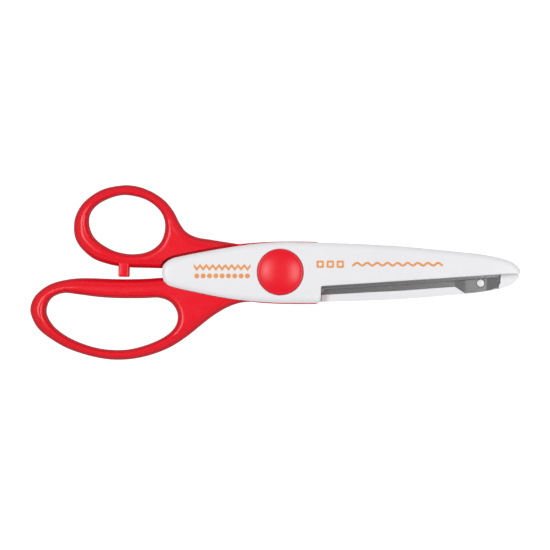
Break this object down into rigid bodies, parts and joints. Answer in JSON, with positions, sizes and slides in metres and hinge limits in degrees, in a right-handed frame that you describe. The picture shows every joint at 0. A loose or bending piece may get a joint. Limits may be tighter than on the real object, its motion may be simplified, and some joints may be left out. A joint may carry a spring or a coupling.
{
  "type": "decorative edge scissors",
  "caption": "Scrapbooking scissors with red moulded finger and thumb loops, white blade covers, wave-toothed steel blades and a domed pivot cap.",
  "frame": {"origin": "on the pivot axis, on the flat outer face of the rear pivot cap, in the plane on which the scissors lie", "axes": "+X towards the blade tips, +Y towards the thumb loop, +Z out of the front cover along the pivot axis"},
  "size_m": [0.1642, 0.0587, 0.0112],
  "materials": {
    "red_plastic": "glossy moulded",
    "white_plastic": "satin moulded",
    "blade_steel": "stamped, lightly brushed",
    "bright_steel": "turned, bright",
    "nylon": "natural nylon"
  },
  "bodies": {
    "front_half": {"finger_handle": "red_plastic", "front_cover": "white_plastic", "front_blade": "blade_steel", "front_blade_rivet_root": "bright_steel", "front_blade_rivet_heel": "bright_steel", "front_pivot_cap": "red_plastic", "pivot_screw": "bright_steel", "pivot_bushing": "nylon", "pivot_nut": "bright_steel", "plain_washer": "bright_steel", "spring_washer": "bright_steel", "blade_spacer": "nylon"},
    "rear_half": {"thumb_handle": "red_plastic", "rear_cover": "white_plastic", "rear_blade": "blade_steel", "rear_blade_rivet_root": "bright_steel", "rear_blade_rivet_heel": "bright_steel", "rear_pivot_cap": "red_plastic"}
  },
  "joints": [
    {"name": "pivot", "type": "hinge", "parent": "front_half", "child": "rear_half", "pos_m": [0, 0, 0.0049], "axis": [0, 0, -1], "range_deg": [-0.7, 55]}
  ]
}
